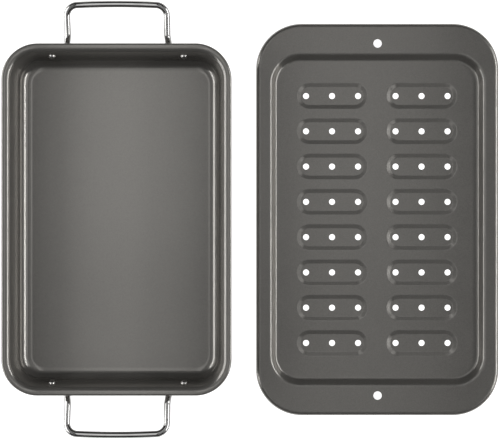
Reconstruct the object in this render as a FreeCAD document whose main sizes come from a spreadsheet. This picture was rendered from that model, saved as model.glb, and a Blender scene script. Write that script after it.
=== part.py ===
import FreeCAD, Part
import math
import os
from types import SimpleNamespace

import Sketcher
from FreeCAD import Vector

# A two-piece broiler set in pressed sheet steel, laid out side by side: a deep pan with two riveted wire
# handles, and the broiling tray that hangs in the pan's mouth. Origin: on the table, in the middle of the
# set. X runs across both pieces, Y along them, Z up. Sizes are in millimetres and degrees.

DRIVING_SIZES = {
    # deep pan, with the radii of its bends on the upper face
    "pan_width": 240.5,
    "pan_length": 368.0,
    "pan_height": 50.0,
    "pan_corner": 38.0,
    "pan_gauge": 0.8,
    "wall_angle": 6.5,
    "floor_bend": 9.5,
    "rim_width": 5.0,
    "rim_bend": 3.0,
    "rim_bead": 2.2,
    "rim_return": 1.0,
    # broiling tray
    "tray_gauge": 0.8,
    "tray_corner": 49.0,
    "overhang_side": 9.75,
    "overhang_end": 26.0,
    "edge_bend": 4.5,
    "edge_drop": 0.5,
    "nest_clearance": 1.0,
    "step_depth": 8.0,
    "step_angle": 57.0,
    "step_bend": 1.5,
    # drain troughs and holes of the tray
    "trough_rows": 8,
    "trough_depth": 1.5,
    "trough_angle": 15.0,
    "trough_width": 29.0,
    "trough_corner": 11.5,
    "trough_side_margin": 20.3,
    "trough_middle_gap": 19.4,
    "trough_end_margin": 23.3,
    "drain_hole": 6.5,
    "drain_hole_margin": 10.5,
    "hang_hole": 9.0,
    "hang_hole_inset": 21.6,
    # wire handles
    "wire": 6.8,
    "wire_clearance": 0.3,
    "handle_reach": 41.2,
    "handle_angle": 20.0,
    "handle_corner": 11.5,
    "handle_bow": 850.0,
    "splay_angle": 15.0,
    "splay_run": 6.0,
    "foot_bend": 6.0,
    "foot_run": 1.0,
    "foot_taper": 3.0,
    "foot_thickness": 3.0,
    "foot_width": 11.5,
    # rivets
    "rivet_side_inset": 50.45,
    "rivet_drop": 21.0,
    "rivet_shank": 4.0,
    "rivet_clearance": 0.05,
    "rivet_head": 8.0,
    "rivet_head_height": 1.8,
    "rivet_tail": 7.0,
    "rivet_tail_height": 1.4,
    "rivet_chamfer": 1.0,
    # layout of the two pieces, and the flat strip that each bent section keeps beside its bends
    "piece_gap": 25.8,
    "flat_strip": 1.0,
}

doc = FreeCAD.newDocument("BroilerPan")
sheet = doc.addObject("Spreadsheet::Sheet", "Sizes")
for row, (alias, value) in enumerate(DRIVING_SIZES.items(), start=1):
    sheet.set(f"A{row}", alias)
    sheet.set(f"B{row}", str(value))
    sheet.setAlias(f"B{row}", alias)
doc.recompute()


class Size(str):
    """An expression in the sheet's sizes. It is written like arithmetic, and binds features to the sheet."""

    def __add__(self, other):
        return Size(f"({self} + {other})")

    def __radd__(self, other):
        return Size(f"({other} + {self})")

    def __sub__(self, other):
        return Size(f"({self} - {other})")

    def __rsub__(self, other):
        return Size(f"({other} - {self})")

    def __mul__(self, other):
        return Size(f"({self} * {other})")

    def __rmul__(self, other):
        return Size(f"({other} * {self})")

    def __truediv__(self, other):
        return Size(f"({self} / {other})")

    def __neg__(self):
        return Size(f"(-1 * {self})")


ZERO = Size("0")


def sine(angle):
    return Size(f"sin({angle})")


def cosine(angle):
    return Size(f"cos({angle})")


def tangent(angle):
    return Size(f"tan({angle})")


def arcsine(ratio):
    return Size(f"(asin({ratio}) / 1 deg)")


def number(expression):
    """What an expression comes to, in millimetres or degrees."""
    result = sheet.evalExpression(str(expression))
    return float(getattr(result, "Value", result))


s = SimpleNamespace(**{alias: Size(f"Sizes.{alias}") for alias in DRIVING_SIZES})

# Pan: the length of its straight wall, and how far in from the rim's edge its flat floor starts
both_bends = s.floor_bend + s.rim_bend
wall_run = (s.pan_height - s.pan_gauge - both_bends * (1 - sine(s.wall_angle))) / cosine(s.wall_angle)
floor_inset = s.rim_width + both_bends * cosine(s.wall_angle) + wall_run * sine(s.wall_angle)

# Rivets and handle feet: how far apart and how high they are, and where the end wall's outer face is at
# that height
rivet_spacing = s.pan_width - 2 * s.rivet_side_inset
rivet_height = s.pan_height - s.rivet_drop
wall_face_inset = s.rim_bend - s.pan_gauge + (s.rivet_drop - s.rim_bend) * sine(s.wall_angle)
wall_face = s.pan_length / 2 - s.rim_width - wall_face_inset / cosine(s.wall_angle)
rivet_hole = s.rivet_shank + 2 * s.rivet_clearance

# Handle: the wire's centre line, in its own plane, from the foot out to the bar. The bar is bowed, so its
# corners turn a little less than a quarter turn.
wire_stand_off = s.wire / 2 + s.wire_clearance
foot_start = rivet_spacing / 2 - s.foot_width / 2
leg_offset = foot_start - s.foot_taper - s.foot_run - s.foot_bend - s.splay_run * sine(s.splay_angle)
wire_start = wall_face + wire_stand_off * cosine(s.wall_angle)
bar_distance = (s.pan_length / 2 + s.handle_reach - wire_start) / cosine(s.handle_angle)
bow_to_corner = s.handle_bow - s.handle_corner
bow_half_angle = arcsine((leg_offset - s.handle_corner) / bow_to_corner)
corner_distance = bar_distance - s.handle_bow + bow_to_corner * cosine(bow_half_angle)
leg_run = corner_distance - s.foot_bend - s.splay_run * cosine(s.splay_angle)

# Tray: its outline hangs over the pan's rim, and its recess drops into the pan's mouth
tray_width = s.pan_width + 2 * s.overhang_side
tray_length = s.pan_length + 2 * s.overhang_end
nest_inset = s.rim_width + s.nest_clearance
nest_width = s.pan_width - 2 * nest_inset
nest_length = s.pan_length - 2 * nest_inset
nest_corner = s.pan_corner - nest_inset
step_bends = 2 * s.step_bend + s.tray_gauge
step_run = (s.step_depth - step_bends * (1 - cosine(s.step_angle))) / sine(s.step_angle)
step_inset = step_bends * sine(s.step_angle) + step_run * cosine(s.step_angle)
recess_floor = s.trough_depth + s.tray_gauge
flange_top = recess_floor + s.step_depth

# Troughs: two columns, with the rows spread over the recess floor between its end margins. A trough's
# underside is larger than its hollow, so that its sloping sides are as thick as the sheet.
floor_width = nest_width - 2 * step_inset
floor_length = nest_length - 2 * step_inset
trough_length = (floor_width - 2 * s.trough_side_margin - s.trough_middle_gap) / 2
column_spacing = trough_length + s.trough_middle_gap
row_span = floor_length - 2 * s.trough_end_margin - s.trough_width
underside_margin = s.tray_gauge * tangent(s.trough_angle / 2)

# Where each piece lies beside the other
pan_place = -1 * (s.piece_gap + tray_width) / 2
tray_place = (s.piece_gap + s.pan_width) / 2


def new_body(label, x, y=ZERO, z=ZERO, turn=ZERO, tilt=ZERO):
    """A body in its place, tilted about its own X axis and then turned about the upright one."""
    body = doc.addObject("PartDesign::Body", label)
    body.Label = label
    rotation = f"rotation(vector(0; 0; 1); {turn}) * rotation(vector(1; 0; 0); {tilt})"
    body.setExpression("Placement", f"placement(vector({x}; {y}; {z}); {rotation})")
    return body


def new_end_wall_body(label, end, across=ZERO):
    """A body that starts on the outer face of an end wall, at the rivets' height: end is 1 at the rear and
    -1 at the front. Its Y axis leaves the wall squarely, and its Z axis runs up it."""
    return new_body(label, pan_place + across, end * wall_face, rivet_height, 90 - 90 * end, -s.wall_angle)


def origin_feature(body, role):
    return next(feature for feature in body.Origin.OriginFeatures if feature.Role == role)


def new_sketch(body, name, plane, shift=(ZERO, ZERO, ZERO), tilt=ZERO):
    """A sketch on one of its body's planes, moved along that plane's own axes and tilted about its first."""
    sketch = body.newObject("Sketcher::SketchObject", name)
    sketch.AttachmentSupport = [(origin_feature(body, plane), "")]
    sketch.MapMode = "FlatFace"
    x, y, z = shift
    rotation = f"rotation(vector(1; 0; 0); {tilt})"
    sketch.setExpression("AttachmentOffset", f"placement(vector({x}; {y}; {z}); {rotation})")
    return sketch


def constrain(sketch, kind, *elements):
    sketch.addConstraint(Sketcher.Constraint(kind, *elements))


def dimension(sketch, expression, kind, *elements):
    """A constraint whose value follows the sheet. Angles are in degrees."""
    is_angle = kind == "Angle"
    value = math.radians(number(expression)) if is_angle else number(expression)
    index = sketch.addConstraint(Sketcher.Constraint(kind, *elements, value))
    sketch.setExpression(f"Constraints[{index}]", f"{expression} * 1 deg" if is_angle else str(expression))


def add_line(sketch, start, end):
    return sketch.addGeometry(Part.LineSegment(start, end))


def add_arc(sketch, centre, radius, start, end):
    circle = Part.Circle(centre, Vector(0, 0, 1), radius)
    return sketch.addGeometry(Part.ArcOfCircle(circle, math.radians(start), math.radians(end)))


def add_circle(sketch, width, x=ZERO, y=ZERO):
    centre = Vector(number(x), number(y), 0)
    circle = sketch.addGeometry(Part.Circle(centre, Vector(0, 0, 1), number(width) / 2))
    dimension(sketch, width, "Diameter", circle)
    dimension(sketch, x, "DistanceX", circle, 3)
    dimension(sketch, y, "DistanceY", circle, 3)


def direction(angle):
    return Vector(math.cos(math.radians(angle)), math.sin(math.radians(angle)), 0)


def add_chain(sketch, start, heading, moves):
    """Straight runs and tangent bends, one after another, that set out along the sketch's x axis (heading 0)
    or against it (180). A run is its length; a bend is its radius and its turn, positive to the left.
    Returns the chain's two open ends, each as an edge and one of its points."""
    position = Vector(number(start[0]), number(start[1]), 0)
    chain = []
    for move in moves:
        if isinstance(move, Size):
            edge = add_line(sketch, position, position + direction(heading) * number(move))
            entry, exit_point = 1, 2
            dimension(sketch, move, "Distance", edge)
        else:
            radius, turn = move
            side = math.copysign(1, number(turn))
            to_centre = heading + 90 * side
            centre = position + direction(to_centre) * number(radius)
            span = sorted((to_centre + 180, to_centre + 180 + number(turn)))
            edge = add_arc(sketch, centre, number(radius), *span)
            entry, exit_point = (1, 2) if side > 0 else (2, 1)
            heading += number(turn)
            dimension(sketch, radius, "Radius", edge)
            dimension(sketch, turn if side > 0 else -turn, "Angle", edge)
        if chain:
            constrain(sketch, "Tangent", chain[-1][0], chain[-1][2], edge, entry)
        chain.append((edge, entry, exit_point))
        position = sketch.getPoint(edge, exit_point)
    first_edge, first_point, _ = chain[0]
    dimension(sketch, start[0], "DistanceX", first_edge, first_point)
    dimension(sketch, start[1], "DistanceY", first_edge, first_point)
    constrain(sketch, "Horizontal", first_edge)
    return (first_edge, first_point), (chain[-1][0], chain[-1][2])


def join_ends(sketch, first, second):
    line = add_line(sketch, sketch.getPoint(*first), sketch.getPoint(*second))
    constrain(sketch, "Coincident", line, 1, *first)
    constrain(sketch, "Coincident", line, 2, *second)


def add_sheet_section(sketch, start, gauge, moves):
    """A bent sheet's section. Its upper face follows the moves, and its lower face lies one gauge below."""
    upper_ends = add_chain(sketch, start, 0, moves)
    lower_moves = []
    for move in moves:
        if isinstance(move, Size):
            lower_moves.append(move)
        else:
            radius, turn = move
            lower_moves.append((radius + gauge if number(turn) > 0 else radius - gauge, turn))
    lower_ends = add_chain(sketch, (start[0], start[1] - gauge), 0, lower_moves)
    for upper, lower in zip(upper_ends, lower_ends):
        join_ends(sketch, upper, lower)


def add_rounded_rectangle(sketch, width, length, corner, centre=(ZERO, ZERO)):
    """A rectangle with round corners, which starts halfway up its right-hand side."""
    half_width, half_length, radius = number(width) / 2, number(length) / 2, number(corner)
    middle = Vector(number(centre[0]), number(centre[1]), 0)
    edges = []
    position = middle + Vector(half_width, 0, 0)
    for quarter, (side_x, side_y) in enumerate(((1, 1), (-1, 1), (-1, -1), (1, -1))):
        reach = Vector(side_x * (half_width - radius), side_y * (half_length - radius), 0)
        arc_start = middle + reach + direction(90 * quarter) * radius
        edges.append(add_line(sketch, position, arc_start))
        edges.append(add_arc(sketch, middle + reach, radius, 90 * quarter, 90 * quarter + 90))
        position = sketch.getPoint(edges[-1], 2)
    edges.append(add_line(sketch, position, middle + Vector(half_width, 0, 0)))
    for first, second in zip(edges, edges[1:]):
        constrain(sketch, "Tangent", first, 2, second, 1)
    constrain(sketch, "Coincident", edges[-1], 2, edges[0], 1)
    constrain(sketch, "Vertical", edges[0])
    constrain(sketch, "Vertical", edges[-1])
    for arc in edges[3::2]:
        constrain(sketch, "Equal", edges[1], arc)
    dimension(sketch, corner, "Radius", edges[1])
    dimension(sketch, width, "DistanceX", edges[4], 1, edges[0], 2)
    dimension(sketch, length, "DistanceY", edges[6], 2, edges[2], 1)
    dimension(sketch, centre[0] + width / 2, "DistanceX", edges[0], 1)
    dimension(sketch, centre[1], "DistanceY", edges[0], 1)
    dimension(sketch, centre[1] + length / 2, "DistanceY", edges[2], 1)


def add_quartered_circle(sketch, width):
    """A circle about the origin in four arcs, which loft to the four sides of a rectangle."""
    radius = number(width) / 2
    quarters = [add_arc(sketch, Vector(0, 0, 0), radius, start, start + 90) for start in (45, 135, 225, 315)]
    for first, second in zip(quarters, quarters[1:] + quarters[:1]):
        constrain(sketch, "Coincident", first, 2, second, 1)
    for quarter in quarters:
        constrain(sketch, "Coincident", quarter, 3, -1, 1)
    for quarter in quarters[:3]:
        dimension(sketch, Size("90"), "Angle", quarter)
    dimension(sketch, width / 2, "Radius", quarters[0])
    constrain(sketch, "Symmetric", quarters[0], 1, quarters[0], 2, -2)


def add_polygon(sketch, corners):
    """Straight edges through the corners, each of which is placed from the sketch's origin."""
    points = [Vector(number(x), number(y), 0) for x, y in corners]
    edges = [add_line(sketch, start, end) for start, end in zip(points, points[1:] + points[:1])]
    for edge, next_edge in zip(edges, edges[1:] + edges[:1]):
        constrain(sketch, "Coincident", edge, 2, next_edge, 1)
    for edge, (x, y) in zip(edges, corners):
        dimension(sketch, x, "DistanceX", edge, 1)
        dimension(sketch, y, "DistanceY", edge, 1)


def add_pipe(body, name, section, path):
    pipe = body.newObject("PartDesign::AdditivePipe", name)
    pipe.Profile = section
    doc.recompute()
    pipe.Spine = (path, [f"Edge{index}" for index in range(1, len(path.Shape.Edges) + 1)])
    return pipe


def add_extrusion(body, kind, name, sketch, length, **settings):
    feature = body.newObject(f"PartDesign::{kind}", name)
    feature.Profile = sketch
    feature.setExpression("Length", str(length))
    for setting, chosen in settings.items():
        if isinstance(chosen, Size):
            feature.setExpression(setting, str(chosen))
        else:
            setattr(feature, setting, chosen)
    return feature


def add_mirror(body, name, originals, plane):
    mirror = body.newObject("PartDesign::Mirrored", name)
    mirror.Originals = originals
    mirror.MirrorPlane = (origin_feature(body, plane), [""])
    body.Tip = mirror


# Deep pan: the wall with its rolled rim is one bent section carried round the outline, and a flat floor
# closes it.
def make_pan():
    pan = new_body("roasting_pan", pan_place)
    rim_outline = new_sketch(pan, "rim_outline", "XY_Plane")
    add_rounded_rectangle(rim_outline, s.pan_width, s.pan_length, s.pan_corner)
    wall_turn = 90 - s.wall_angle
    strip_end = floor_inset + s.flat_strip
    wall_section = new_sketch(pan, "wall_section", "XZ_Plane")
    add_sheet_section(wall_section, (s.pan_width / 2 - strip_end, s.pan_gauge), s.pan_gauge, [
        s.flat_strip,
        (s.floor_bend, wall_turn),
        wall_run,
        (s.rim_bend, -wall_turn),
        s.rim_width - s.rim_bead,
        (s.rim_bead, Size("-180")),
        s.rim_return,
    ])
    add_pipe(pan, "wall", wall_section, rim_outline)

    floor_outline = new_sketch(pan, "floor_outline", "XY_Plane")
    floor_sides = s.pan_width - 2 * strip_end, s.pan_length - 2 * strip_end
    add_rounded_rectangle(floor_outline, *floor_sides, s.pan_corner - strip_end)
    add_extrusion(pan, "Pad", "floor", floor_outline, s.pan_gauge)

    hole_places = new_sketch(
        pan, "rivet_hole_places", "XZ_Plane", (ZERO, rivet_height, -wall_face), -s.wall_angle)
    for side in (-1, 1):
        add_circle(hole_places, rivet_hole, side * rivet_spacing / 2)
    holes = add_extrusion(pan, "Pocket", "rivet_holes", hole_places, 4 * s.pan_gauge, Midplane=True)
    add_mirror(pan, "front_rivet_holes", [holes], "XZ_Plane")
    return pan


# Broiling tray: a flange with a turned-down edge, then a sloping step down to the recess floor
def make_tray():
    tray = new_body("broiler_tray", tray_place)
    outline = new_sketch(tray, "outline", "XY_Plane")
    add_rounded_rectangle(outline, tray_width, tray_length, s.tray_corner)
    edge_inset = s.edge_bend + s.flat_strip
    edge_section = new_sketch(tray, "edge_section", "XZ_Plane")
    add_sheet_section(edge_section, (tray_width / 2 - edge_inset, flange_top), s.tray_gauge, [
        s.flat_strip,
        (s.edge_bend, Size("-90")),
        s.edge_drop,
    ])
    add_pipe(tray, "turned_edge", edge_section, outline)

    flange_outline = new_sketch(tray, "flange_outline", "XY_Plane", (ZERO, ZERO, flange_top - s.tray_gauge))
    flange_sides = tray_width - 2 * edge_inset, tray_length - 2 * edge_inset
    add_rounded_rectangle(flange_outline, *flange_sides, s.tray_corner - edge_inset)
    opening_sides = nest_width + 2 * s.flat_strip, nest_length + 2 * s.flat_strip
    add_rounded_rectangle(flange_outline, *opening_sides, nest_corner + s.flat_strip)
    add_extrusion(tray, "Pad", "flange", flange_outline, s.tray_gauge)

    nest_outline = new_sketch(tray, "nest_outline", "XY_Plane")
    add_rounded_rectangle(nest_outline, nest_width, nest_length, nest_corner)
    strip_end = step_inset + s.flat_strip
    step_section = new_sketch(tray, "step_section", "XZ_Plane")
    add_sheet_section(step_section, (nest_width / 2 - strip_end, recess_floor), s.tray_gauge, [
        s.flat_strip,
        (s.step_bend, s.step_angle),
        step_run,
        (s.step_bend + s.tray_gauge, -s.step_angle),
        s.flat_strip,
    ])
    add_pipe(tray, "recess_step", step_section, nest_outline)

    floor_outline = new_sketch(tray, "floor_outline", "XY_Plane", (ZERO, ZERO, s.trough_depth))
    floor_sides = nest_width - 2 * strip_end, nest_length - 2 * strip_end
    add_rounded_rectangle(floor_outline, *floor_sides, nest_corner - strip_end)
    add_extrusion(tray, "Pad", "recess_floor", floor_outline, s.tray_gauge)

    press_troughs(tray)

    hang_hole_places = new_sketch(tray, "hang_hole_places", "XY_Plane", (ZERO, ZERO, flange_top))
    for side in (-1, 1):
        add_circle(hang_hole_places, s.hang_hole, ZERO, side * (tray_length / 2 - s.hang_hole_inset))
    add_extrusion(tray, "Pocket", "hang_holes", hang_hole_places, 2 * s.tray_gauge)
    return tray


# Drain troughs: one pressed trough with its three holes, repeated over two columns and all rows
def press_troughs(tray):
    centre = -column_spacing / 2, -row_span / 2
    side_taper = s.trough_angle - 90
    underside = new_sketch(tray, "trough_underside", "XY_Plane", (ZERO, ZERO, s.trough_depth))
    add_rounded_rectangle(
        underside, trough_length + 2 * underside_margin, s.trough_width + 2 * underside_margin,
        s.trough_corner + underside_margin, centre)
    pressing = add_extrusion(
        tray, "Pad", "trough_pressing", underside, s.trough_depth, Reversed=True, TaperAngle=side_taper)

    mouth = new_sketch(tray, "trough_mouth", "XY_Plane", (ZERO, ZERO, recess_floor))
    add_rounded_rectangle(mouth, trough_length, s.trough_width, s.trough_corner, centre)
    hollow = add_extrusion(tray, "Pocket", "trough_hollow", mouth, s.trough_depth, TaperAngle=side_taper)

    hole_places = new_sketch(tray, "drain_hole_places", "XY_Plane", (ZERO, ZERO, recess_floor))
    hole_pitch = trough_length / 2 - s.drain_hole_margin
    for step in (-1, 0, 1):
        add_circle(hole_places, s.drain_hole, centre[0] + step * hole_pitch, centre[1])
    drains = add_extrusion(tray, "Pocket", "drain_holes", hole_places, recess_floor)

    columns = doc.addObject("PartDesign::LinearPattern", "columns")
    columns.Direction = (origin_feature(tray, "X_Axis"), [""])
    columns.Occurrences = 2
    columns.setExpression("Length", str(column_spacing))
    rows = doc.addObject("PartDesign::LinearPattern", "rows")
    rows.Direction = (origin_feature(tray, "Y_Axis"), [""])
    rows.setExpression("Occurrences", str(s.trough_rows))
    rows.setExpression("Length", str(row_span))
    troughs = tray.newObject("PartDesign::MultiTransform", "troughs")
    troughs.Originals = [pressing, hollow, drains]
    troughs.Transformations = [columns, rows]
    tray.Tip = troughs


# Wire handle: one bent wire, round all along, with each end pressed flat into a pierced foot that lies on
# the end wall. Its plane rises outwards from the feet, under the rim, to the bowed bar.
def make_handle(label, end):
    handle = new_end_wall_body(label, end)
    foot_to_bar = [
        s.foot_run,
        (s.foot_bend, s.splay_angle - 90),
        s.splay_run,
        (s.foot_bend, -s.splay_angle),
        leg_run,
        (s.handle_corner, 90 - bow_half_angle),
    ]
    bar = [(s.handle_bow, 2 * bow_half_angle)]
    round_end = foot_start - s.foot_taper
    centre_line = new_sketch(
        handle, "centre_line", "XY_Plane", (ZERO, wire_stand_off, ZERO), s.wall_angle + s.handle_angle)
    add_chain(centre_line, (round_end, ZERO), 180, foot_to_bar + bar + foot_to_bar[::-1])
    wire_section = new_sketch(handle, "wire_section", "YZ_Plane", (wire_stand_off, ZERO, round_end))
    add_circle(wire_section, s.wire)
    add_pipe(handle, "wire", wire_section, centre_line)

    taper_start = new_sketch(handle, "taper_start", "YZ_Plane", (wire_stand_off, ZERO, round_end))
    add_quartered_circle(taper_start, s.wire)
    half_width = s.foot_width / 2
    taper_end = new_sketch(handle, "taper_end", "YZ_Plane", (ZERO, ZERO, foot_start))
    add_polygon(taper_end, [
        (s.foot_thickness, half_width),
        (ZERO, half_width),
        (ZERO, -half_width),
        (s.foot_thickness, -half_width),
    ])
    taper = handle.newObject("PartDesign::AdditiveLoft", "taper")
    taper.Profile = taper_start
    taper.Sections = [taper_end]

    foot_outline = new_sketch(handle, "foot_outline", "XZ_Plane")
    around_rivet = [half_width, (half_width, Size("180")), half_width]
    join_ends(foot_outline, *add_chain(foot_outline, (foot_start, -half_width), 0, around_rivet))
    add_circle(foot_outline, rivet_hole, rivet_spacing / 2)
    foot = add_extrusion(handle, "Pad", "foot", foot_outline, s.foot_thickness, Reversed=True)
    add_mirror(handle, "left_foot", [taper, foot], "YZ_Plane")
    return handle


# Rivet: a head inside the pan, a shank through the wall and the handle's foot, and a tail outside
def make_rivet(label, end, side):
    rivet = new_end_wall_body(label, end, side * rivet_spacing / 2)
    shank, head, tail = s.rivet_shank / 2, s.rivet_head / 2, s.rivet_tail / 2
    head_seat, tail_seat = -s.pan_gauge, s.foot_thickness
    head_top, tail_top = head_seat - s.rivet_head_height, tail_seat + s.rivet_tail_height
    half_section = new_sketch(rivet, "half_section", "XY_Plane")
    add_polygon(half_section, [
        (ZERO, head_top),
        (head - s.rivet_chamfer, head_top),
        (head, head_top + s.rivet_chamfer),
        (head, head_seat),
        (shank, head_seat),
        (shank, tail_seat),
        (tail, tail_seat),
        (tail, tail_top - s.rivet_chamfer),
        (tail - s.rivet_chamfer, tail_top),
        (ZERO, tail_top),
    ])
    turned_body = rivet.newObject("PartDesign::Revolution", "turned_body")
    turned_body.Profile = half_section
    turned_body.ReferenceAxis = (half_section, ["V_Axis"])
    return rivet


nodes = [make_pan(), make_tray()]
for end_name, end in (("front", -1), ("rear", 1)):
    nodes.append(make_handle(f"{end_name}_handle", end))
    for side_name, side in (("left", -1), ("right", 1)):
        nodes.append(make_rivet(f"{end_name}_{side_name}_rivet", end, side))
doc.recompute()

for item in doc.Objects:
    if "Invalid" in item.State or "Error" in item.State:
        raise RuntimeError(f"{item.Label} failed: {item.State}")
for node in nodes:
    if node.Shape.isNull() or not node.Shape.isValid() or len(node.Shape.Solids) != 1:
        raise RuntimeError(f"{node.Label} is not one valid solid")

os.makedirs("parts", exist_ok=True)
for node in nodes:
    node.Shape.exportStep(f"parts/{node.Label}.step")
    box = node.Shape.optimalBoundingBox(True, False)
    size = f"{box.XLength:.1f} x {box.YLength:.1f} x {box.ZLength:.1f} mm"
    print(f"{node.Label}: {size}, {node.Shape.Volume:.0f} cubic mm")
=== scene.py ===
import math

import bmesh
import bpy
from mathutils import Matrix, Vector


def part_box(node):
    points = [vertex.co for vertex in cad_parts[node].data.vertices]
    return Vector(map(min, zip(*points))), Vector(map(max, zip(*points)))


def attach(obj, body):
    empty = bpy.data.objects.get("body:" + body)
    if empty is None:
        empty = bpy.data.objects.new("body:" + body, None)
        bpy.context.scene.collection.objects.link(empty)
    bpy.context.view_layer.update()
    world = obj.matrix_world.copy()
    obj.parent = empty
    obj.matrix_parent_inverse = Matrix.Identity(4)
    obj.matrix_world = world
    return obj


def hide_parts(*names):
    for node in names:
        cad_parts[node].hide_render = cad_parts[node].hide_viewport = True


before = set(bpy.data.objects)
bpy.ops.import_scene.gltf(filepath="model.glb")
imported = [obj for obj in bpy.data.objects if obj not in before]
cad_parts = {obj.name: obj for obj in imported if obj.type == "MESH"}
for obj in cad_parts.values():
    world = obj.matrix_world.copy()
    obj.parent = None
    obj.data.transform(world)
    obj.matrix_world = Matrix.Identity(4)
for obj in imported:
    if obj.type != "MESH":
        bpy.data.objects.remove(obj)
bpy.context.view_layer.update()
print("frame loaded:", ", ".join(sorted(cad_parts)))

# The sizes in the pieces' dictionaries are in millimetres and degrees. The meshes are in metres.
metre = 0.001
mergeDistance = 0.004  # points of a mesh that lie nearer than this are one
scene = bpy.context.scene


def sine(angle):
    return math.sin(math.radians(angle))


def cosine(angle):
    return math.cos(math.radians(angle))


# Points along straight runs (a length) and bends (a radius and a turn to the left), from a start point
def bendLine(start, moves, heading=0, stepAngle=7.5, longestStep=8):
    x, y = start
    points = [(x, y)]
    for move in moves:
        if isinstance(move, tuple):
            radius, turn = move
            arcLength = radius * math.radians(abs(turn))
            count = max(2, round(abs(turn) / stepAngle), round(arcLength / longestStep))
            halfTurn = turn / count / 2
            stretch = 2 * radius * sine(abs(halfTurn))
        else:
            count, halfTurn, stretch = 1, 0, move
        for _ in range(count):
            heading += halfTurn
            x += stretch * cosine(heading)
            y += stretch * sine(heading)
            heading += halfTurn
            points.append((x, y))
    return points


# A line for a node tree to follow. It is only a helper, and goes once its piece is made.
def addLine(name, points):
    curve = bpy.data.curves.new(name, "CURVE")
    curve.dimensions = "3D"
    spline = curve.splines.new("POLY")
    spline.points.add(len(points) - 1)
    for point, place in zip(spline.points, points):
        point.co = (*place, 1)
    line = bpy.data.objects.new(name, curve)
    scene.collection.objects.link(line)
    return line


# A section is drawn as (outwards, up), and carried along a flat line with its y axis pointing down
def addSection(name, points):
    return addLine(name, [(outwards, -up, 0) for outwards, up in points])


def removeLines(*lines):
    for line in lines:
        curve = line.data
        bpy.data.objects.remove(line)
        bpy.data.curves.remove(curve)


# Node trees: how they are built, and how a tree becomes a piece's mesh

def newTree(name, inputs):
    tree = bpy.data.node_groups.new(name, "GeometryNodeTree")
    for socketName, socketType in inputs.items():
        tree.interface.new_socket(socketName, in_out="INPUT", socket_type="NodeSocket" + socketType)
    tree.interface.new_socket("Geometry", in_out="OUTPUT", socket_type="NodeSocketGeometry")
    return tree, tree.nodes.new("NodeGroupInput").outputs


def wire(tree, node, wires):
    for socket, value in wires.items():
        if isinstance(value, bpy.types.NodeSocket):
            tree.links.new(value, node.inputs[socket])
        else:
            node.inputs[socket].default_value = value
    return node.outputs


def addNode(tree, kind, wires=None, **settings):
    node = tree.nodes.new(kind)
    for setting, value in settings.items():
        setattr(node, setting, value)
    return wire(tree, node, wires or {})


def geo(tree, kind, wires=None, **settings):
    return addNode(tree, "GeometryNode" + kind, wires, **settings)[0]


def group(tree, inner, wires):
    return addNode(tree, tree.bl_idname.replace("Tree", "Group"), wires, node_tree=inner)


def calc(tree, operation, *values):
    return addNode(tree, "ShaderNodeMath", dict(enumerate(values)), operation=operation)[0]


def vector(tree, x=0.0, y=0.0, z=0.0):
    return addNode(tree, "ShaderNodeCombineXYZ", {0: x, 1: y, 2: z})[0]


def join(tree, *parts):
    node = tree.nodes.new("GeometryNodeJoinGeometry")
    for part in parts:
        tree.links.new(part, node.inputs[0])
    return node.outputs[0]


def repeat(tree, points, shape, rotation=None):
    wires = {"Points": points, "Instance": shape}
    if rotation is not None:
        wires["Rotation"] = rotation
    return geo(tree, "RealizeInstances", {0: geo(tree, "InstanceOnPoints", wires)})


# The end of every tree: from millimetres at the piece's own middle to metres in the frame
def finishTree(tree, inputs, geometry):
    merged = geo(tree, "MergeByDistance", {"Geometry": geometry, "Distance": mergeDistance})
    placed = geo(tree, "Transform", {
        "Geometry": merged, "Translation": inputs["Place"], "Scale": (metre, metre, metre)})
    whole = geo(tree, "RealizeInstances", {0: placed})
    finished = geo(tree, "SetMaterial", {"Geometry": whole, "Material": inputs["Material"]})
    addNode(tree, "NodeGroupOutput", {0: finished})
    return tree


finishInputs = {"Place": "Vector", "Material": "Material"}


def addPiece(name, tree, values):
    piece = bpy.data.objects.new(name, bpy.data.meshes.new(name))
    scene.collection.objects.link(piece)
    modifier = piece.modifiers.new(tree.name, "NODES")
    modifier.node_group = tree
    for item in tree.interface.items_tree:
        if item.in_out == "INPUT":
            modifier[item.identifier] = values[item.name]
    settle(piece)
    return piece


# The modifiers' result becomes the piece's own mesh
def settle(piece):
    bpy.context.view_layer.update()
    evaluated = piece.evaluated_get(bpy.context.evaluated_depsgraph_get())
    mesh = bpy.data.meshes.new_from_object(evaluated)
    old = piece.data
    piece.modifiers.clear()
    piece.data = mesh
    bpy.data.meshes.remove(old)
    mesh.name = piece.name


# On an open sheet the widest face shows which way is up
def turnOutwards(piece, isSheet):
    mesh = bmesh.new()
    mesh.from_mesh(piece.data)
    bmesh.ops.recalc_face_normals(mesh, faces=mesh.faces)
    if isSheet and max(mesh.faces, key=lambda face: face.calc_area()).normal.z < 0:
        bmesh.ops.reverse_faces(mesh, faces=mesh.faces)
    mesh.to_mesh(piece.data)
    mesh.free()


def shadeSmooth(piece, sharpAngle=40):
    piece.data.shade_smooth()
    piece.data.set_sharp_from_angle(angle=math.radians(sharpAngle))
    piece.modifiers.new("evenNormals", "WEIGHTED_NORMAL").keep_sharp = True
    settle(piece)


# Gives a sheet its thickness below its upper face, and takes the sharpness off its cut edges
def thicken(piece, gauge, cutEdge, cutAngle=50):
    turnOutwards(piece, isSheet=True)
    sheet = piece.modifiers.new("sheet", "SOLIDIFY")
    sheet.thickness = gauge * metre
    sheet.offset = -1
    sheet.use_even_offset = True
    edges = piece.modifiers.new("cutEdges", "BEVEL")
    edges.width = cutEdge * metre
    edges.segments = 2
    edges.limit_method = "ANGLE"
    edges.angle_limit = math.radians(cutAngle)
    settle(piece)
    shadeSmooth(piece)


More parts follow.
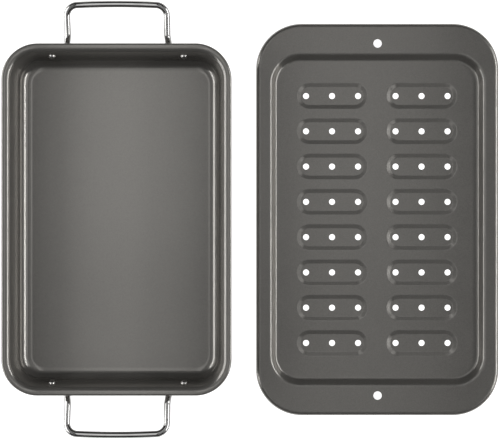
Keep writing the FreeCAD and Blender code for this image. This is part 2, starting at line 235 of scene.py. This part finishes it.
# A bent section carried round a rectangle with round corners
def makeSweptBand():
    tree, inputs = newTree("sweptBand", {
        "Section": "Object", "Width": "Float", "Length": "Float", "Corner": "Float", "Corner Steps": "Int"})
    outline = geo(tree, "CurvePrimitiveQuadrilateral", {"Width": inputs["Width"], "Height": inputs["Length"]})
    rounded = geo(tree, "FilletCurve", {
        "Curve": outline, "Radius": inputs["Corner"], "Count": inputs["Corner Steps"]}, mode="POLY")
    level = geo(tree, "SetCurveNormal", {"Curve": rounded}, mode="Z_UP")
    section = addNode(tree, "GeometryNodeObjectInfo", {"Object": inputs["Section"]})["Geometry"]
    swept = geo(tree, "CurveToMesh", {"Curve": level, "Profile Curve": section})
    addNode(tree, "NodeGroupOutput", {0: swept})
    return tree


# A section carried round a circle
def makeSweptRing():
    tree, inputs = newTree("sweptRing", {"Section": "Object", "Radius": "Float", "Steps": "Int"})
    circle = geo(tree, "CurvePrimitiveCircle", {"Resolution": inputs["Steps"], "Radius": inputs["Radius"]})
    level = geo(tree, "SetCurveNormal", {"Curve": circle}, mode="Z_UP")
    section = addNode(tree, "GeometryNodeObjectInfo", {"Object": inputs["Section"]})["Geometry"]
    swept = geo(tree, "CurveToMesh", {"Curve": level, "Profile Curve": section})
    addNode(tree, "NodeGroupOutput", {0: swept})
    return tree


# A flat sheet between the open edges of the bands that lie at one level, with holes where the loops are.
# An edge is open where it has one face.
def makeFlatSheet(tolerance=0.01):
    tree, inputs = newTree("flatSheet", {"Bands": "Geometry", "Holes": "Geometry", "Level": "Float"})
    position = geo(tree, "InputPosition")
    height = addNode(tree, "ShaderNodeSeparateXYZ", {0: position})["Z"]
    atLevel = calc(tree, "COMPARE", height, inputs["Level"], tolerance)
    isOpen = calc(tree, "COMPARE", geo(tree, "InputMeshEdgeNeighbors"), 1.0, tolerance)
    edges = geo(tree, "MeshToCurve", {
        "Mesh": inputs["Bands"], "Selection": calc(tree, "MULTIPLY", atLevel, isOpen)})
    flat = geo(tree, "FillCurve", {"Curve": join(tree, edges, inputs["Holes"])}, mode="TRIANGLES")
    addNode(tree, "NodeGroupOutput", {
        0: geo(tree, "Transform", {"Geometry": flat, "Translation": vector(tree, z=inputs["Level"])})})
    return tree


sweptBand, sweptRing, flatSheet = makeSweptBand(), makeSweptRing(), makeFlatSheet()
print("shared node trees made")


# Materials
def newShaderGroup(name, inputs, outputs):
    tree = bpy.data.node_groups.new(name, "ShaderNodeTree")
    for direction, sockets in (("INPUT", inputs), ("OUTPUT", outputs)):
        for socketName, socketType in sockets.items():
            tree.interface.new_socket(socketName, in_out=direction, socket_type="NodeSocket" + socketType)
    return tree, tree.nodes.new("NodeGroupInput").outputs


# Fine flakes in a metallic coating: a value for their shade, and a height for their faint relief
def makeFlakes():
    tree, inputs = newShaderGroup("flakes", {
        "Flakes Per Metre": "Float", "Grain Per Flake": "Float", "Cloud Size": "Float",
        "Flake Share": "Float", "Grain Share": "Float", "Cloud Share": "Float"},
        {"Shade": "Float", "Height": "Float"})
    position = addNode(tree, "ShaderNodeTexCoord")["Object"]
    flake = addNode(tree, "ShaderNodeTexVoronoi", {"Vector": position, "Scale": inputs["Flakes Per Metre"]})
    single = addNode(tree, "ShaderNodeSeparateColor", {0: flake["Color"]})[0]
    grainScale = calc(tree, "MULTIPLY", inputs["Flakes Per Metre"], inputs["Grain Per Flake"])
    grain = addNode(tree, "ShaderNodeTexNoise", {"Vector": position, "Scale": grainScale, "Detail": 3.0})[0]
    cloudScale = calc(tree, "DIVIDE", 1.0, inputs["Cloud Size"])
    cloud = addNode(tree, "ShaderNodeTexNoise", {"Vector": position, "Scale": cloudScale, "Detail": 2.0})[0]
    fine = calc(tree, "ADD", calc(tree, "MULTIPLY", single, inputs["Flake Share"]),
                calc(tree, "MULTIPLY", grain, inputs["Grain Share"]))
    shade = calc(tree, "ADD", fine, calc(tree, "MULTIPLY", cloud, inputs["Cloud Share"]))
    addNode(tree, "NodeGroupOutput", {"Shade": shade, "Height": grain})
    return tree


# Faint marks on bright metal: one value for their shade
def makeMarks():
    tree, inputs = newShaderGroup(
        "marks", {"Marks Per Metre": "Float", "Detail": "Float"}, {"Shade": "Float"})
    position = addNode(tree, "ShaderNodeTexCoord")["Object"]
    shade = addNode(tree, "ShaderNodeTexNoise", {
        "Vector": position, "Scale": inputs["Marks Per Metre"], "Detail": inputs["Detail"]})[0]
    addNode(tree, "NodeGroupOutput", {"Shade": shade})
    return tree


flakes, marks = makeFlakes(), makeMarks()


def newMaterial(name, **sockets):
    material = bpy.data.materials.new(name)
    material.use_nodes = True
    tree = material.node_tree
    shader = tree.nodes["Principled BSDF"]
    for socket, value in sockets.items():
        shader.inputs[socket.replace("_", " ")].default_value = value
    return material, tree, shader


def mapRange(tree, value, low, high):
    return addNode(tree, "ShaderNodeMapRange", {"Value": value, "To Min": low, "To Max": high})[0]


# Colour, roughness and faint relief from one pattern
def applyFinish(tree, shader, finish, shade, height):
    colour = addNode(tree, "ShaderNodeMix", {
        "Factor": shade, 6: finish["dark"], 7: finish["light"]}, data_type="RGBA")[2]
    relief = addNode(tree, "ShaderNodeBump", {
        "Strength": finish["relief"], "Distance": finish["reliefDepth"], "Height": height})[0]
    wire(tree, shader, {
        "Base Color": colour, "Roughness": mapRange(tree, shade, *finish["roughness"]), "Normal": relief})


coating = {
    "dark": (0.158, 0.153, 0.144, 1),
    "light": (0.252, 0.243, 0.228, 1),
    "metallic": 0.66,
    "edgeTint": (0.9, 0.88, 0.85, 1),
    "roughness": (0.17, 0.27),
    "coat": 0.12,
    "coatRoughness": 0.14,
    "flakesPerMetre": 1500.0,
    "grainPerFlake": 0.45,
    "cloudSize": 0.035,
    "flakeShare": 0.35,
    "grainShare": 0.45,
    "cloudShare": 0.2,
    "relief": 0.025,
    "reliefDepth": 0.0003,
}
plating = {
    "dark": (0.34, 0.338, 0.333, 1),
    "light": (0.5, 0.497, 0.49, 1),
    "edgeTint": (0.25, 0.25, 0.25, 1),
    "roughness": (0.03, 0.09),
    "marksPerMetre": 140.0,
    "detail": 4.0,
    "relief": 0.03,
    "reliefDepth": 0.0005,
}
rivetFinish = {
    "dark": (0.4, 0.393, 0.38, 1),
    "light": (0.58, 0.572, 0.555, 1),
    "edgeTint": (1, 1, 1, 1),
    "roughness": (0.2, 0.34),
    "marksPerMetre": 900.0,
    "detail": 3.0,
    "relief": 0.06,
    "reliefDepth": 0.0003,
}


def makeCoatedSteel():
    material, tree, shader = newMaterial(
        "coatedSteel", Metallic=coating["metallic"], Coat_Weight=coating["coat"],
        Coat_Roughness=coating["coatRoughness"], Specular_Tint=coating["edgeTint"])
    grain = group(tree, flakes, {
        "Flakes Per Metre": coating["flakesPerMetre"], "Grain Per Flake": coating["grainPerFlake"],
        "Cloud Size": coating["cloudSize"], "Flake Share": coating["flakeShare"],
        "Grain Share": coating["grainShare"], "Cloud Share": coating["cloudShare"]})
    applyFinish(tree, shader, coating, grain["Shade"], grain["Height"])
    return material


def makeBrightMetal(name, finish):
    material, tree, shader = newMaterial(name, Metallic=1.0, Specular_Tint=finish["edgeTint"])
    shade = group(tree, marks, {"Marks Per Metre": finish["marksPerMetre"], "Detail": finish["detail"]})[0]
    applyFinish(tree, shader, finish, shade, shade)
    return material


coatedSteel = makeCoatedSteel()
platedWire = makeBrightMetal("platedWire", plating)
rivetSteel = makeBrightMetal("rivetSteel", rivetFinish)
print("materials made")


# Where the pieces are and how large they are
def measure(*nodes):
    corners = [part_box(node) for node in nodes]
    low = [min(corner[0][axis] for corner in corners) / metre for axis in range(3)]
    high = [max(corner[1][axis] for corner in corners) / metre for axis in range(3)]
    middle = [(a + b) / 2 for a, b in zip(low, high)]
    size = [b - a for a, b in zip(low, high)]
    return middle, size


def place(x, y=0, z=0):
    return (x * metre, y * metre, z * metre)


panMiddle, panSize = measure("roasting_pan")
trayMiddle, traySize = measure("broiler_tray")


# The deep pan
pan = {
    "corner": 38,
    "cornerSteps": 26,
    "gauge": 0.8,
    "wallAngle": 6.5,
    "floorBend": 12,
    "rimWidth": 3.3,
    "rimBend": 6,
    "rimBead": 2.2,
    "rimReturn": 1,
    "floorStrip": 1,
    "cutEdge": 0.15,
}


def makePanTree():
    tree, inputs = newTree("pressedPan", {
        "Wall Section": "Object", "Width": "Float", "Length": "Float", "Corner": "Float",
        "Corner Steps": "Int", "Floor Level": "Float", **finishInputs})
    wall = group(tree, sweptBand, {
        "Section": inputs["Wall Section"], "Width": inputs["Width"], "Length": inputs["Length"],
        "Corner": inputs["Corner"], "Corner Steps": inputs["Corner Steps"]})[0]
    floor = group(tree, flatSheet, {"Bands": wall, "Level": inputs["Floor Level"]})[0]
    return finishTree(tree, inputs, join(tree, wall, floor))


def makePan():
    height = panSize[2]
    wallAngle = pan["wallAngle"]
    bothBends = pan["floorBend"] + pan["rimBend"]
    wallRun = (height - pan["gauge"] - bothBends * (1 - sine(wallAngle))) / cosine(wallAngle)
    floorInset = pan["rimWidth"] + bothBends * cosine(wallAngle) + wallRun * sine(wallAngle)
    wallTurn = 90 - wallAngle
    section = addSection("wallSection", bendLine((-floorInset - pan["floorStrip"], pan["gauge"]), [
        pan["floorStrip"],
        (pan["floorBend"], wallTurn),
        wallRun,
        (pan["rimBend"], -wallTurn),
        pan["rimWidth"] - pan["rimBead"],
        (pan["rimBead"], -180),
        pan["rimReturn"],
    ]))
    piece = addPiece("deepPan", makePanTree(), {
        "Wall Section": section, "Width": panSize[0], "Length": panSize[1], "Corner": pan["corner"],
        "Corner Steps": pan["cornerSteps"], "Floor Level": pan["gauge"],
        "Place": place(panMiddle[0]), "Material": coatedSteel})
    removeLines(section)
    thicken(piece, pan["gauge"], pan["cutEdge"])
    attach(piece, "root")
    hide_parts("roasting_pan")


makePan()
print("deep pan made")


# The broiling tray
tray = {
    "gauge": 0.8,
    "corner": 49,
    "cornerSteps": 26,
    "edgeBend": 4.5,
    "edgeDrop": 0.5,
    "nestWidth": 232.4,
    "nestLength": 358,
    "nestCorner": 33.5,
    "nestCornerSteps": 22,
    "recessLevel": 2.3,
    "stepDepth": 8,
    "stepAngle": 57,
    "stepBend": 3.5,
    "strip": 1,
    "cutEdge": 0.15,
}
troughs = {
    "rows": 8,
    "depth": 1.5,
    "angle": 19,
    "mouthBend": 3.5,
    "floorBend": 3,
    "length": 76.99,
    "width": 29,
    "corner": 14,
    "cornerSteps": 12,
    "columnSpacing": 96.39,
    "rowSpan": 265.88,
    "strip": 0.08,
}
holes = {
    "drain": 6.5,
    "drainPitch": 28,
    "drainSteps": 28,
    "hang": 9,
    "hangInset": 21.6,
    "hangSteps": 36,
    "strip": 0.12,
}


def makeTrayTree():
    tree, inputs = newTree("pressedTray", {
        "Edge Section": "Object", "Width": "Float", "Length": "Float", "Corner": "Float",
        "Corner Steps": "Int", "Flange Level": "Float",
        "Step Section": "Object", "Nest Width": "Float", "Nest Length": "Float", "Nest Corner": "Float",
        "Nest Corner Steps": "Int", "Recess Level": "Float",
        "Trough Section": "Object", "Trough Length": "Float", "Trough Width": "Float",
        "Trough Corner": "Float", "Trough Corner Steps": "Int", "Trough Level": "Float",
        "Rows": "Int", "Row Span": "Float", "Column Spacing": "Float",
        "Hole Strip": "Object", "Drain Radius": "Float", "Drain Pitch": "Float", "Drain Steps": "Int",
        "Hang Radius": "Float", "Hang Spacing": "Float", "Hang Steps": "Int", **finishInputs})

    def band(section, prefix, width, length):
        return group(tree, sweptBand, {
            "Section": inputs[section], "Width": inputs[prefix + width], "Length": inputs[prefix + length],
            "Corner": inputs[prefix + "Corner"], "Corner Steps": inputs[prefix + "Corner Steps"]})[0]

    def holeShapes(kind):
        radius, steps = inputs[kind + " Radius"], inputs[kind + " Steps"]
        ring = group(tree, sweptRing, {"Section": inputs["Hole Strip"], "Radius": radius, "Steps": steps})[0]
        loop = geo(tree, "CurvePrimitiveCircle", {"Resolution": steps, "Radius": radius})
        return ring, loop

    # one trough with its three drain holes, in two columns
    grid = geo(tree, "MeshGrid", {
        "Size X": inputs["Column Spacing"], "Size Y": inputs["Row Span"], "Vertices X": 2,
        "Vertices Y": inputs["Rows"]})
    first = vector(tree, calc(tree, "MULTIPLY", inputs["Drain Pitch"], -1.0))
    drainPoints = geo(tree, "MeshLine", {
        "Count": 3, "Start Location": first, "Offset": vector(tree, inputs["Drain Pitch"])})
    drainRing, drainLoop = holeShapes("Drain")
    troughBands = repeat(tree, grid, band("Trough Section", "Trough ", "Length", "Width"))
    drainRings = repeat(tree, grid, repeat(tree, drainPoints, drainRing))
    drainLoops = repeat(tree, grid, repeat(tree, drainPoints, drainLoop))
    raisedRings = geo(tree, "Transform", {
        "Geometry": drainRings, "Translation": vector(tree, z=inputs["Trough Level"])})

    # a hanging hole in the middle of each end
    hangStart = vector(tree, 0.0, calc(tree, "MULTIPLY", inputs["Hang Spacing"], -0.5))
    hangPoints = geo(tree, "MeshLine", {
        "Count": 2, "Start Location": hangStart, "Offset": vector(tree, 0.0, inputs["Hang Spacing"])})
    hangRing, hangLoop = holeShapes("Hang")
    hangRings = geo(tree, "Transform", {
        "Geometry": repeat(tree, hangPoints, hangRing),
        "Translation": vector(tree, z=inputs["Flange Level"])})
    hangLoops = repeat(tree, hangPoints, hangLoop)

    edge = band("Edge Section", "", "Width", "Length")
    step = band("Step Section", "Nest ", "Width", "Length")
    flange = group(tree, flatSheet, {
        "Bands": join(tree, edge, step), "Holes": hangLoops, "Level": inputs["Flange Level"]})[0]
    recess = group(tree, flatSheet, {
        "Bands": join(tree, step, troughBands), "Level": inputs["Recess Level"]})[0]
    floors = group(tree, flatSheet, {
        "Bands": troughBands, "Holes": drainLoops, "Level": inputs["Trough Level"]})[0]
    return finishTree(tree, inputs, join(
        tree, edge, step, troughBands, raisedRings, hangRings, flange, recess, floors))


# How far a slope between two bends reaches, for its depth: the run of its straight part
def slopeRun(depth, angle, bends):
    return (depth - bends * (1 - cosine(angle))) / sine(angle)


def makeTray():
    gauge, strip = tray["gauge"], tray["strip"]
    flangeLevel = tray["recessLevel"] + tray["stepDepth"]
    troughLevel = tray["recessLevel"] - troughs["depth"]

    edgeSection = addSection("edgeSection", bendLine((-tray["edgeBend"] - strip, flangeLevel), [
        strip, (tray["edgeBend"], -90), tray["edgeDrop"]]))

    angle, upperBend = tray["stepAngle"], tray["stepBend"] + gauge
    run = slopeRun(tray["stepDepth"], angle, tray["stepBend"] + upperBend)
    stepInset = (tray["stepBend"] + upperBend) * sine(angle) + run * cosine(angle)
    stepSection = addSection("stepSection", bendLine((-stepInset - strip, tray["recessLevel"]), [
        strip, (tray["stepBend"], angle), run, (upperBend, -angle), strip]))

    angle, mouthBend, floorBend = troughs["angle"], troughs["mouthBend"], troughs["floorBend"]
    run = slopeRun(troughs["depth"], angle, mouthBend + floorBend)
    slope = (mouthBend + floorBend) * sine(angle) + run * cosine(angle)
    troughSection = addSection("troughSection", bendLine((-slope - troughs["strip"], troughLevel), [
        troughs["strip"], (floorBend, angle), run, (mouthBend, -angle), troughs["strip"]], stepAngle=5))

    holeStrip = addSection("holeStrip", [(-holes["strip"], 0), (0, 0)])
    piece = addPiece("broilingTray", makeTrayTree(), {
        "Edge Section": edgeSection, "Width": traySize[0], "Length": traySize[1], "Corner": tray["corner"],
        "Corner Steps": tray["cornerSteps"], "Flange Level": flangeLevel,
        "Step Section": stepSection, "Nest Width": tray["nestWidth"], "Nest Length": tray["nestLength"],
        "Nest Corner": tray["nestCorner"], "Nest Corner Steps": tray["nestCornerSteps"],
        "Recess Level": tray["recessLevel"],
        "Trough Section": troughSection, "Trough Length": troughs["length"],
        "Trough Width": troughs["width"], "Trough Corner": troughs["corner"],
        "Trough Corner Steps": troughs["cornerSteps"], "Trough Level": troughLevel,
        "Rows": troughs["rows"], "Row Span": troughs["rowSpan"],
        "Column Spacing": troughs["columnSpacing"],
        "Hole Strip": holeStrip, "Drain Radius": holes["drain"] / 2 + holes["strip"],
        "Drain Pitch": holes["drainPitch"], "Drain Steps": holes["drainSteps"],
        "Hang Radius": holes["hang"] / 2 + holes["strip"],
        "Hang Spacing": traySize[1] - 2 * holes["hangInset"], "Hang Steps": holes["hangSteps"],
        "Place": place(trayMiddle[0]), "Material": coatedSteel})
    removeLines(edgeSection, stepSection, troughSection, holeStrip)
    thicken(piece, gauge, tray["cutEdge"])
    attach(piece, "root")
    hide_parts("broiler_tray")


makeTray()
print("broiling tray made")


# The wire handles and their rivets
rivets = {
    "sideInset": 50.45,
    "drop": 21,
    "shank": 4,
    "head": 7.6,
    "headHeight": 3.4,
    "tail": 7,
    "tailHeight": 1.4,
    "edge": 0.3,
    "stepsRound": 40,
    "domeSteps": 9,
    "sweepRadius": 1.0,
}
handle = {
    "wire": 6.8,
    "stepsRound": 32,
    "clearance": 0.3,
    "reach": 41.2,
    "angle": 20,
    "corner": 11.5,
    "bow": 850,
    "splayAngle": 8,
    "splayRun": 12,
    "footBend": 6,
    "footRun": 1,
    "footTaper": 3,
    "footThickness": 3,
    "footWidth": 11.5,
    "footSquareness": 0.34,
    "taperSteps": 10,
    "tipAngles": (83, 76, 68, 60, 50, 40, 30, 20, 10, 0),
}

rivetSpacing = panSize[0] - 2 * rivets["sideInset"]
rivetHeight = panSize[2] - rivets["drop"]
wallInset = pan["rimBend"] - pan["gauge"] + (rivets["drop"] - pan["rimBend"]) * sine(pan["wallAngle"])
wallFace = panSize[1] / 2 - pan["rimWidth"] - wallInset / cosine(pan["wallAngle"])


def makeHandleTree():
    tree, inputs = newTree("wireHandle", {
        "Centre Line": "Object", "Wire Radius": "Float", "Steps Round": "Int", "Stand Off": "Float",
        "Flat Start": "Float", "Flat Run": "Float", "Rivet Distance": "Float", "Foot Half Width": "Float",
        "Foot Half Thickness": "Float", "Foot Squareness": "Float", "Lean": "Vector", "Seat": "Vector",
        **finishInputs})
    line = addNode(tree, "GeometryNodeObjectInfo", {"Object": inputs["Centre Line"]})["Geometry"]
    level = geo(tree, "SetCurveNormal", {"Curve": line}, mode="Z_UP")
    circle = geo(tree, "CurvePrimitiveCircle", {
        "Resolution": inputs["Steps Round"], "Radius": inputs["Wire Radius"]})
    rod = geo(tree, "CurveToMesh", {"Curve": level, "Profile Curve": circle, "Fill Caps": True})

    # each end of the wire is pressed flat: the round section turns into a flat one with a round tip
    along, out, up = addNode(tree, "ShaderNodeSeparateXYZ", {0: geo(tree, "InputPosition")})[:3]
    distance = calc(tree, "ABSOLUTE", along)
    flatEnd = calc(tree, "ADD", inputs["Flat Start"], inputs["Flat Run"])
    pressed = addNode(tree, "ShaderNodeMapRange", {
        "Value": distance, "From Min": inputs["Flat Start"], "From Max": flatEnd},
        interpolation_type="SMOOTHSTEP")[0]

    def blend(low, high):
        span = calc(tree, "SUBTRACT", high, low)
        return calc(tree, "MULTIPLY_ADD", pressed, span, low)

    def squared(value):
        share = calc(tree, "DIVIDE", value, inputs["Wire Radius"])
        power = blend(1.0, inputs["Foot Squareness"])
        size = calc(tree, "POWER", calc(tree, "ABSOLUTE", share), power)
        return calc(tree, "MULTIPLY", calc(tree, "SIGN", share), size)

    pastRivet = calc(tree, "MAXIMUM", calc(tree, "SUBTRACT", distance, inputs["Rivet Distance"]), 0.0)
    halfWidth = inputs["Foot Half Width"]
    tipSquare = calc(tree, "SUBTRACT", calc(tree, "MULTIPLY", halfWidth, halfWidth),
                     calc(tree, "MULTIPLY", pastRivet, pastRivet))
    tipWidth = calc(tree, "SQRT", calc(tree, "MAXIMUM", tipSquare, 0.0))
    thickness = inputs["Foot Half Thickness"]
    acrossWire = calc(tree, "SUBTRACT", out, inputs["Stand Off"])
    newOut = calc(tree, "MULTIPLY_ADD", squared(acrossWire), blend(inputs["Wire Radius"], thickness),
                  blend(inputs["Stand Off"], thickness))
    newUp = calc(tree, "MULTIPLY", squared(up), blend(inputs["Wire Radius"], tipWidth))
    formed = geo(tree, "SetPosition", {
        "Geometry": rod, "Selection": calc(tree, "GREATER_THAN", distance, inputs["Flat Start"]),
        "Position": vector(tree, along, newOut, newUp)})
    turned = geo(tree, "Transform", {
        "Geometry": formed, "Translation": inputs["Seat"],
        "Rotation": addNode(tree, "FunctionNodeEulerToRotation", {0: inputs["Lean"]})[0]})
    return finishTree(tree, inputs, turned)


# The wire's line: from one foot's tip over the leg and the bowed bar to the other tip
def handleLine():
    standOff = handle["wire"] / 2 + handle["clearance"]
    halfWidth = handle["footWidth"] / 2
    roundEnd = rivetSpacing / 2 - halfWidth - handle["footTaper"]
    splay, splayRun, footBend = handle["splayAngle"], handle["splayRun"], handle["footBend"]
    legOffset = roundEnd - handle["footRun"] - footBend - splayRun * sine(splay)
    wireStart = wallFace + standOff * cosine(pan["wallAngle"])
    barDistance = (panSize[1] / 2 + handle["reach"] - wireStart) / cosine(handle["angle"])
    bowToCorner = handle["bow"] - handle["corner"]
    bowHalf = math.degrees(math.asin((legOffset - handle["corner"]) / bowToCorner))
    cornerDistance = barDistance - handle["bow"] + bowToCorner * cosine(bowHalf)
    leg = [
        handle["footRun"],
        (footBend, splay - 90),
        splayRun,
        (footBend, -splay),
        cornerDistance - footBend - splayRun * cosine(splay),
        (handle["corner"], 90 - bowHalf),
    ]
    bar = [(handle["bow"], 2 * bowHalf)]
    flat = bendLine((roundEnd, 0), leg + bar + leg[::-1], heading=180)

    # the feet's own stations, closest together in the taper and round the tip
    steps = handle["taperSteps"]
    taper = [roundEnd + handle["footTaper"] * step / steps for step in range(steps, 0, -1)]
    tip = [rivetSpacing / 2 + halfWidth * sine(angle) for angle in handle["tipAngles"]]
    foot = [(x, 0) for x in tip + taper]
    flat = foot + flat + [(-x, 0) for x, _ in reversed(foot)]
    tilt = pan["wallAngle"] + handle["angle"]
    return [(x, standOff + y * cosine(tilt), y * sine(tilt)) for x, y in flat], standOff, roundEnd


def makeHandles():
    points, standOff, roundEnd = handleLine()
    tree = makeHandleTree()
    line = addLine("handleLine", points)
    for name, node, end in (("rearHandle", "rear_handle", 1), ("frontHandle", "front_handle", -1)):
        piece = addPiece(name, tree, {
            "Centre Line": line, "Wire Radius": handle["wire"] / 2, "Steps Round": handle["stepsRound"],
            "Stand Off": standOff, "Flat Start": roundEnd, "Flat Run": handle["footTaper"],
            "Rivet Distance": rivetSpacing / 2, "Foot Half Width": handle["footWidth"] / 2,
            "Foot Half Thickness": handle["footThickness"] / 2,
            "Foot Squareness": handle["footSquareness"],
            "Lean": (math.radians(-pan["wallAngle"]), 0, math.radians(90 - 90 * end)),
            "Seat": (0, end * wallFace, rivetHeight),
            "Place": place(panMiddle[0]), "Material": platedWire})
        turnOutwards(piece, isSheet=False)
        shadeSmooth(piece)
        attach(piece, "root")
        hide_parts(node)
    removeLines(line)


makeHandles()
print("wire handles made")


# One tree makes all four rivets
def makeRivetTree():
    tree, inputs = newTree("rivets", {
        "Section": "Object", "Sweep Radius": "Float", "Spacing": "Float", "Wall To Wall": "Float",
        "Height": "Float", "Lean": "Float", "Steps Round": "Int", **finishInputs})
    # the section is carried round a small circle, and reaches its middle
    rivet = group(tree, sweptRing, {
        "Section": inputs["Section"], "Radius": inputs["Sweep Radius"], "Steps": inputs["Steps Round"]})[0]
    corners = geo(tree, "MeshGrid", {
        "Size X": inputs["Spacing"], "Size Y": inputs["Wall To Wall"], "Vertices X": 2, "Vertices Y": 2})
    end = addNode(tree, "ShaderNodeSeparateXYZ", {0: geo(tree, "InputPosition")})["Y"]
    lean = vector(tree, calc(tree, "MULTIPLY", calc(tree, "SIGN", end), inputs["Lean"]))
    rotation = addNode(tree, "FunctionNodeEulerToRotation", {0: lean})[0]
    raised = geo(tree, "Transform", {
        "Geometry": repeat(tree, corners, rivet, rotation),
        "Translation": vector(tree, z=inputs["Height"])})
    return finishTree(tree, inputs, raised)


def dome(width, height):
    radius, rise, steps = width / 2, height - rivets["edge"], rivets["domeSteps"]
    ball = (radius ** 2 + rise ** 2) / (2 * rise)
    widest = math.degrees(math.asin(radius / ball))
    angles = [widest * step / steps for step in range(steps + 1)]
    return [(ball * sine(angle), height - ball * (1 - cosine(angle))) for angle in angles] + [(radius, 0)]


def makeRivets():
    shank = rivets["shank"] / 2
    head = [(out, pan["gauge"] + up) for out, up in dome(rivets["head"], rivets["headHeight"])]
    tail = [(out, -handle["footThickness"] - up) for out, up in dome(rivets["tail"], rivets["tailHeight"])]
    outline = head + [(shank, head[-1][1]), (shank, tail[-1][1])] + tail[::-1]
    section = addSection("rivetSection", [(out - rivets["sweepRadius"], up) for out, up in outline])
    piece = addPiece("rivets", makeRivetTree(), {
        "Section": section, "Sweep Radius": rivets["sweepRadius"], "Spacing": rivetSpacing,
        "Wall To Wall": 2 * wallFace, "Height": rivetHeight,
        "Lean": math.radians(90 - pan["wallAngle"]), "Steps Round": rivets["stepsRound"],
        "Place": place(panMiddle[0]), "Material": rivetSteel})
    removeLines(section)
    turnOutwards(piece, isSheet=False)
    shadeSmooth(piece)
    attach(piece, "root")
    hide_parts("front_left_rivet", "front_right_rivet", "rear_left_rivet", "rear_right_rivet")


makeRivets()
print("rivets made")


# Floor, light and camera
studio = {
    "floorSize": 24,
    "floorGrey": 0.5,
    "floorRoughness": 0.8,
    "floorGlow": 1.0,
    "surroundings": 0.02,
}
# place, size (width along the horizon, height) and slide to the rear in metres, power in watts
softboxes = {
    "leftBox": {"at": (-1.262, 0, 0.81), "size": (1.55, 0.3), "power": 9.7},
    "lowLeftBox": {"at": (-1.49, 0, 0.19), "size": (1.55, 0.3), "power": 9},
    "highLeftBox": {"at": (-0.839, 0, 1.244), "size": (1.55, 0.6), "power": 1.2},
    "upperLeftBox": {"at": (-0.26, 0, 1.477), "size": (1.55, 0.3), "power": 1.46},
    "upperLeftRearBox": {"at": (-0.255, 0, 1.45), "size": (0.84, 0.3), "power": 0.26, "slide": 0.355},
    "upperRightBox": {"at": (0.215, 0, 1.485), "size": (1.55, 0.36), "power": 0.83},
    "upperRightRearBox": {"at": (0.211, 0, 1.455), "size": (0.84, 0.36), "power": 0.15, "slide": 0.355},
    "highRightBox": {"at": (0.795, 0, 1.272), "size": (1.55, 0.3), "power": 1.7},
    "midRightBox": {"at": (1.123, 0, 0.994), "size": (1.55, 0.2), "power": 1.5},
    "rightBox": {"at": (1.299, 0, 0.75), "size": (1.55, 0.17), "power": 12.3},
    "lowRightBox": {"at": (1.449, 0, 0.388), "size": (1.55, 0.3), "power": 2.3},
    "rearBox": {"at": (0, 0.924, 1.182), "size": (1.4, 0.45), "power": 0.32},
    "frontBox": {"at": (0, -0.924, 1.182), "size": (1.4, 0.45), "power": 0.3},
}
camera = {
    "at": (-0.0034, 0, 1.55),  # metres
    "lens": 103.6,
    "sensor": 36,
}


# The floor is white to the camera, and to rays that come off or through the object, but lights nothing
def makeFloor():
    size = studio["floorSize"] / 2
    corners = [(-size, -size, 0), (size, -size, 0), (size, size, 0), (-size, size, 0)]
    mesh = bpy.data.meshes.new("floor")
    mesh.from_pydata(corners, [], [(0, 1, 2, 3)])
    floor = bpy.data.objects.new("floor", mesh)
    scene.collection.objects.link(floor)
    grey = studio["floorGrey"]
    material, tree, shader = newMaterial(
        "floorWhite", Base_Color=(grey, grey, grey, 1), Roughness=studio["floorRoughness"])
    shader.inputs["Specular IOR Level"].default_value = 0
    shader.inputs["Emission Color"].default_value = (1, 1, 1, 1)
    path = addNode(tree, "ShaderNodeLightPath")
    reflected = calc(tree, "MAXIMUM", path["Is Glossy Ray"], path["Is Transmission Ray"])
    seen = calc(tree, "MAXIMUM", path["Is Camera Ray"], reflected)
    wire(tree, shader, {"Emission Strength": calc(tree, "MULTIPLY", seen, studio["floorGlow"])})
    mesh.materials.append(material)


def makeWorld():
    world = bpy.data.worlds.new("studio")
    world.use_nodes = True
    tree = world.node_tree
    wire(tree, tree.nodes["Background"], {"Color": (1, 1, 1, 1), "Strength": studio["surroundings"]})
    scene.world = world


# A soft light that faces the middle of the set, and may then slide to the rear
def addSoftbox(name, box):
    light = bpy.data.lights.new(name, "AREA")
    light.shape = "RECTANGLE"
    light.size, light.size_y = box["size"]
    light.energy = box["power"]
    lamp = bpy.data.objects.new(name, light)
    scene.collection.objects.link(lamp)
    lamp.location = box["at"]
    lamp.rotation_euler = lamp.location.to_track_quat("Z", "Y").to_euler()
    lamp.location.y += box.get("slide", 0)


def makeCamera():
    data = bpy.data.cameras.new("camera")
    data.lens = camera["lens"]
    data.sensor_width = camera["sensor"]
    data.sensor_fit = "HORIZONTAL"
    eye = bpy.data.objects.new("camera", data)
    eye.location = camera["at"]
    scene.collection.objects.link(eye)
    scene.camera = eye


makeFloor()
makeWorld()
for boxName, box in softboxes.items():
    addSoftbox(boxName, box)
makeCamera()
scene.view_settings.view_transform = "Standard"
print("studio made")
